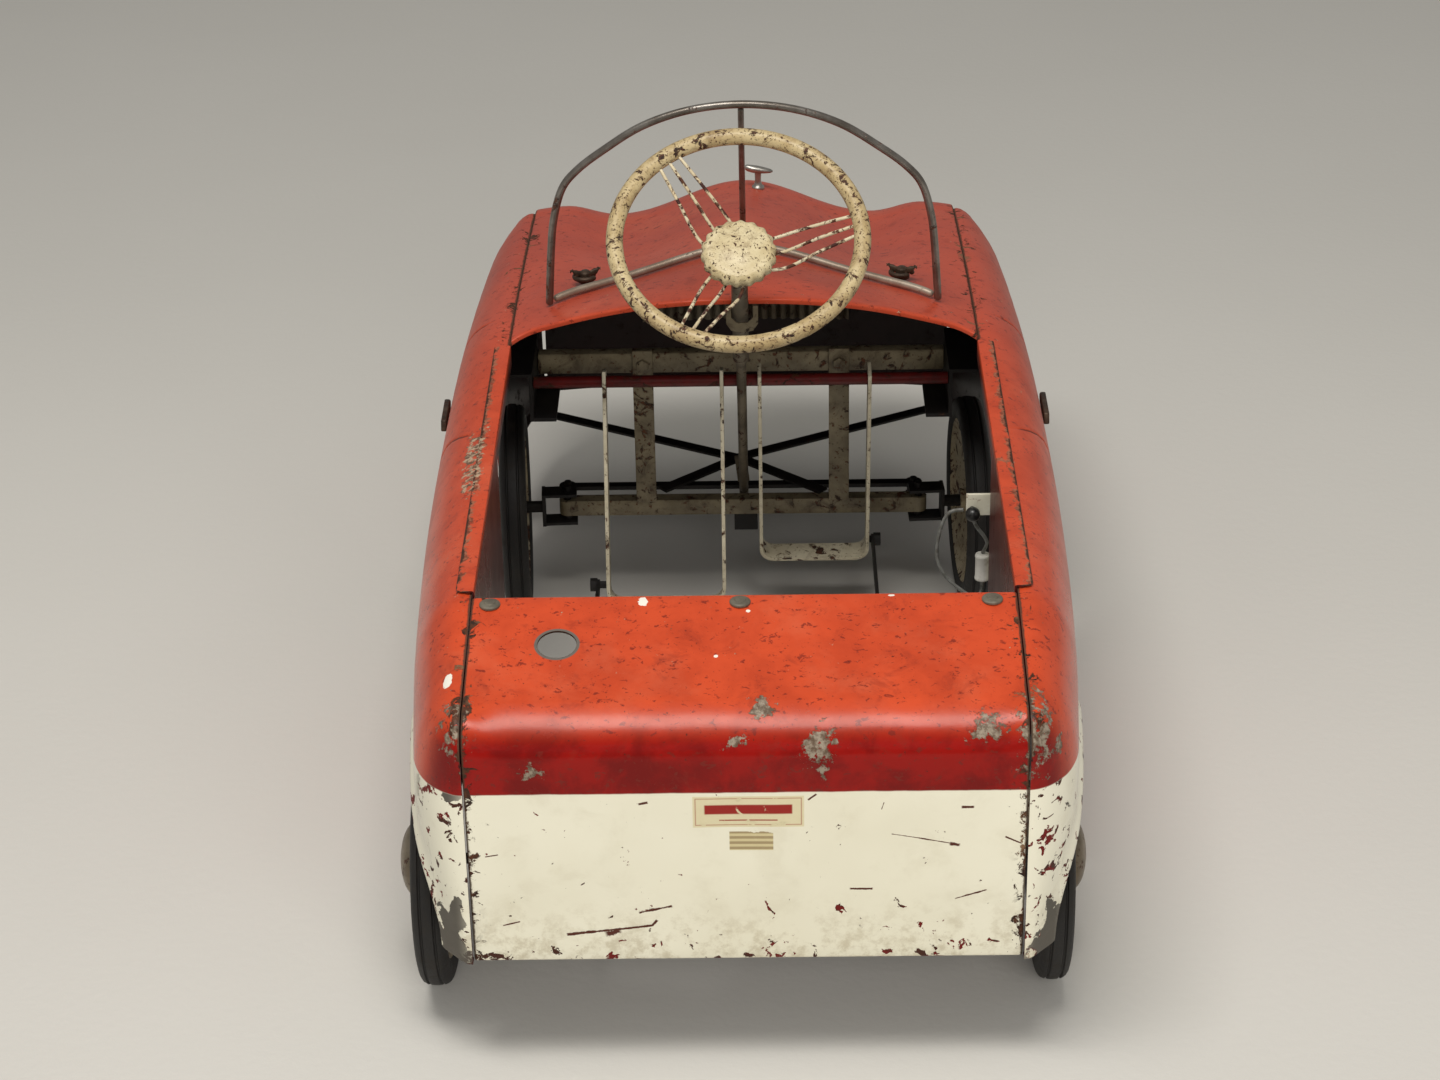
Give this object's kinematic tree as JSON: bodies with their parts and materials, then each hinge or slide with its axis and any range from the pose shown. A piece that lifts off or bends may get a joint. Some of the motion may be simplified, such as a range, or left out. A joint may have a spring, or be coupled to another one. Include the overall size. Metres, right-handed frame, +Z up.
{
  "type": "pedal car",
  "caption": "Child's pressed-steel pedal car with rod windscreen frame, spoked steering wheel, stirrup pedals, cranked rear axle and steered front wheels.",
  "frame": {"origin": "middle of the car's outline, on the floor under the tyres", "axes": "+Y forwards, +X to the car's right side, +Z up"},
  "size_m": [0.4875, 0.9341, 0.49],
  "materials": {
    "orange_paint": "worn gloss paint",
    "cream_paint": "worn gloss paint",
    "red_paint": "worn gloss paint",
    "dark_steel": "rusty and blackened",
    "bright_steel": "dull plating",
    "tyre_rubber": "matt",
    "battery_case": "satin",
    "knob_plastic": "satin",
    "wire_cover": "matt"
  },
  "bodies": {
    "body": {"bonnet": "orange_paint", "nose_panel": "cream_paint", "grille": "bright_steel", "boot_panel": "orange_paint", "side_panel_left": "orange_paint", "side_panel_right": "orange_paint", "cockpit_rail_left": "orange_paint", "cockpit_rail_right": "orange_paint", "door_handle_left": "dark_steel", "door_handle_right": "dark_steel", "headlight_left": "bright_steel", "headlight_right": "bright_steel", "windscreen_hoop": "bright_steel", "windscreen_base_rod": "bright_steel", "windscreen_post": "bright_steel", "windscreen_clamp_left": "dark_steel", "windscreen_clamp_right": "dark_steel", "bonnet_handle": "bright_steel", "front_crossmember": "cream_paint", "pedal_hanger_left": "dark_steel", "pedal_hanger_right": "dark_steel", "axle_post_left": "cream_paint", "axle_post_right": "cream_paint", "front_axle_beam": "cream_paint", "brace_left": "dark_steel", "brace_right": "dark_steel", "pedal_rod": "red_paint", "dash_bracket": "cream_paint", "column_foot": "dark_steel", "rear_bearing_left": "dark_steel", "rear_bearing_right": "dark_steel", "battery_holder": "cream_paint", "battery": "battery_case", "switch_knob": "knob_plastic", "lighting_wire_long": "wire_cover", "lighting_wire_short": "wire_cover"},
    "steering": {"steering_rim": "cream_paint", "steering_spokes": "bright_steel", "steering_boss": "cream_paint", "steering_column": "bright_steel"},
    "stub_left": {"stub_axle_left": "dark_steel"},
    "stub_right": {"stub_axle_right": "dark_steel"},
    "tie_rod": {"tie_rod": "dark_steel"},
    "front_wheel_left": {"tyre_front_left": "tyre_rubber", "wheel_disc_front_left": "cream_paint", "hub_cap_front_left": "bright_steel"},
    "front_wheel_right": {"tyre_front_right": "tyre_rubber", "wheel_disc_front_right": "cream_paint", "hub_cap_front_right": "bright_steel"},
    "rear_axle": {"crank_axle": "dark_steel", "tyre_rear_left": "tyre_rubber", "wheel_disc_rear_left": "cream_paint", "hub_cap_rear_left": "bright_steel", "tyre_rear_right": "tyre_rubber", "wheel_disc_rear_right": "cream_paint", "hub_cap_rear_right": "bright_steel"},
    "conrod_left": {"conrod_left": "dark_steel"},
    "conrod_right": {"conrod_right": "dark_steel"},
    "pedal_left": {"pedal_left": "cream_paint"},
    "pedal_right": {"pedal_right": "cream_paint"}
  },
  "joints": [
    {"name": "steering_turn", "type": "hinge", "parent": "body", "child": "steering", "pos_m": [-0.0015, -0.0055, 0.4185], "axis": [0, -0.5519, 0.8339], "range_deg": [-46.6, 33.3]},
    {"name": "steer_left", "type": "hinge", "parent": "body", "child": "stub_left", "pos_m": [-0.1525, 0.1925, 0.089], "axis": [0, 0, 1], "range_deg": [-21, 15]},
    {"name": "steer_right", "type": "hinge", "parent": "body", "child": "stub_right", "pos_m": [0.1475, 0.1925, 0.089], "axis": [0, 0, 1], "range_deg": [-21, 15]},
    {"name": "tie_rod_left_eye", "type": "hinge", "parent": "stub_left", "child": "tie_rod", "pos_m": [-0.15459, 0.23245, 0.0865], "axis": [0, 0, 1], "range_deg": [-15, 21]},
    {"name": "front_wheel_left_spin", "type": "hinge", "parent": "stub_left", "child": "front_wheel_left", "pos_m": [-0.19694, 0.19017, 0.089], "axis": [0.9986, 0.0523, 0], "continuous": true},
    {"name": "front_wheel_right_spin", "type": "hinge", "parent": "stub_right", "child": "front_wheel_right", "pos_m": [0.19194, 0.19483, 0.089], "axis": [0.9986, 0.0523, 0], "continuous": true},
    {"name": "rear_axle_spin", "type": "hinge", "parent": "body", "child": "rear_axle", "pos_m": [-0.0025, -0.343, 0.089], "axis": [1, 0, 0], "continuous": true},
    {"name": "crank_pin_left", "type": "hinge", "parent": "rear_axle", "child": "conrod_left", "pos_m": [-0.1225, -0.384, 0.089], "axis": [1, 0, 0], "continuous": true},
    {"name": "crank_pin_right", "type": "hinge", "parent": "rear_axle", "child": "conrod_right", "pos_m": [0.1175, -0.302, 0.089], "axis": [1, 0, 0], "continuous": true},
    {"name": "pedal_swing_left", "type": "hinge", "parent": "body", "child": "pedal_left", "pos_m": [-0.0625, 0.132, 0.235], "axis": [1, 0, 0], "range_deg": [0, 28]},
    {"name": "pedal_swing_right", "type": "hinge", "parent": "body", "child": "pedal_right", "pos_m": [0.0575, 0.132, 0.235], "axis": [1, 0, 0], "range_deg": [-28, 0]}
  ],
  "couplings": [
    {"joint": "steer_left", "follows": "steering_turn", "ratio": 0.45},
    {"joint": "steer_right", "follows": "steering_turn", "ratio": 0.45},
    {"joint": "tie_rod_left_eye", "follows": "steering_turn", "ratio": -0.45},
    {"joint": "crank_pin_left", "follows": "rear_axle_spin", "ratio": -1},
    {"joint": "crank_pin_right", "follows": "rear_axle_spin", "ratio": -1},
    {"joint": "pedal_swing_right", "follows": "pedal_swing_left", "ratio": -1}
  ]
}
